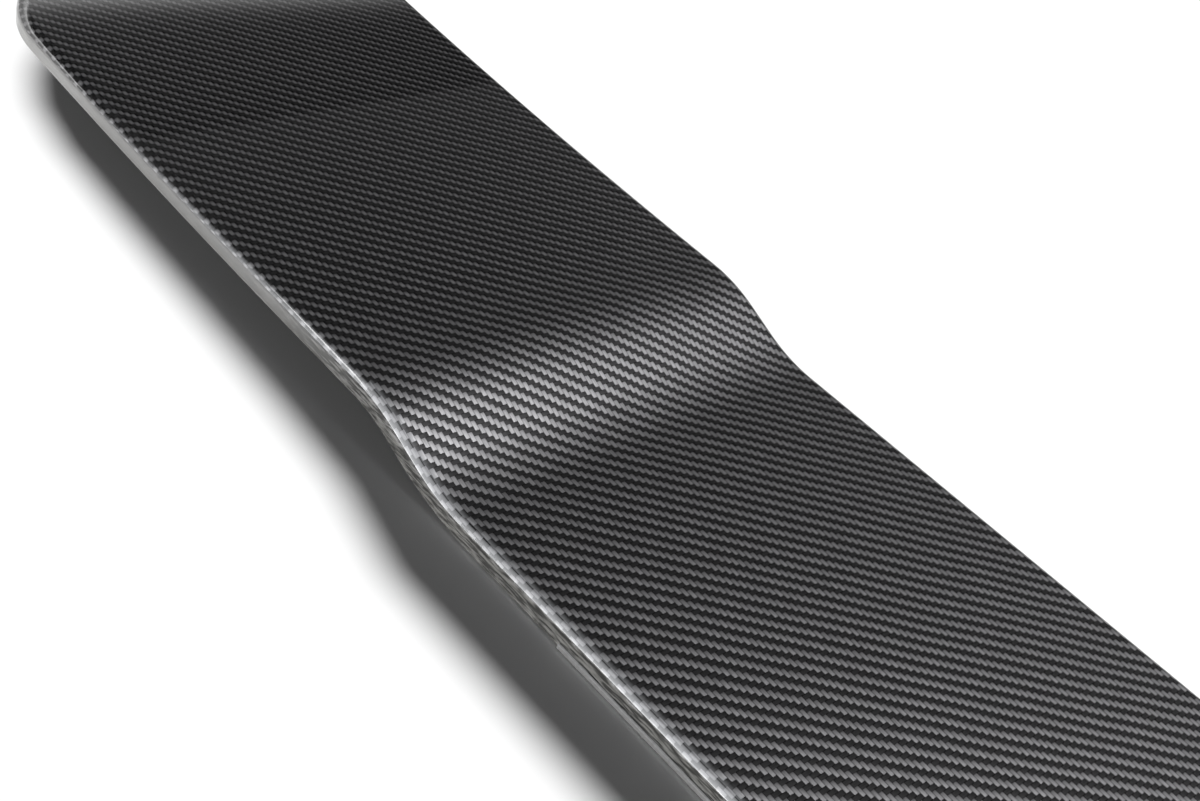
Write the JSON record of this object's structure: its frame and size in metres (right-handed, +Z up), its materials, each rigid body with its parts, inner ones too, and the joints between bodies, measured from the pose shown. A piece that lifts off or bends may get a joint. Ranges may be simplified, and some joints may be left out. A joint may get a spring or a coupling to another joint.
{
  "type": "car rear spoiler",
  "caption": "Low car rear spoiler: glossy carbon-fibre twill panel with raised tips, an S-bend either side of a flat centre section and a shallow turned-down rim.",
  "frame": {"origin": "centre of the footprint, on the plane that the seating feet stand on", "axes": "+X across the car, along the span; -Y towards the rear of the car, where the visible rim is; +Z up"},
  "size_m": [1.2, 0.2182, 0.025],
  "materials": {
    "carbon_twill": "woven carbon fibre, 2x2 twill, under glossy clear coat"
  },
  "bodies": {
    "root": {"spoiler_panel": "carbon_twill"}
  },
  "joints": []
}
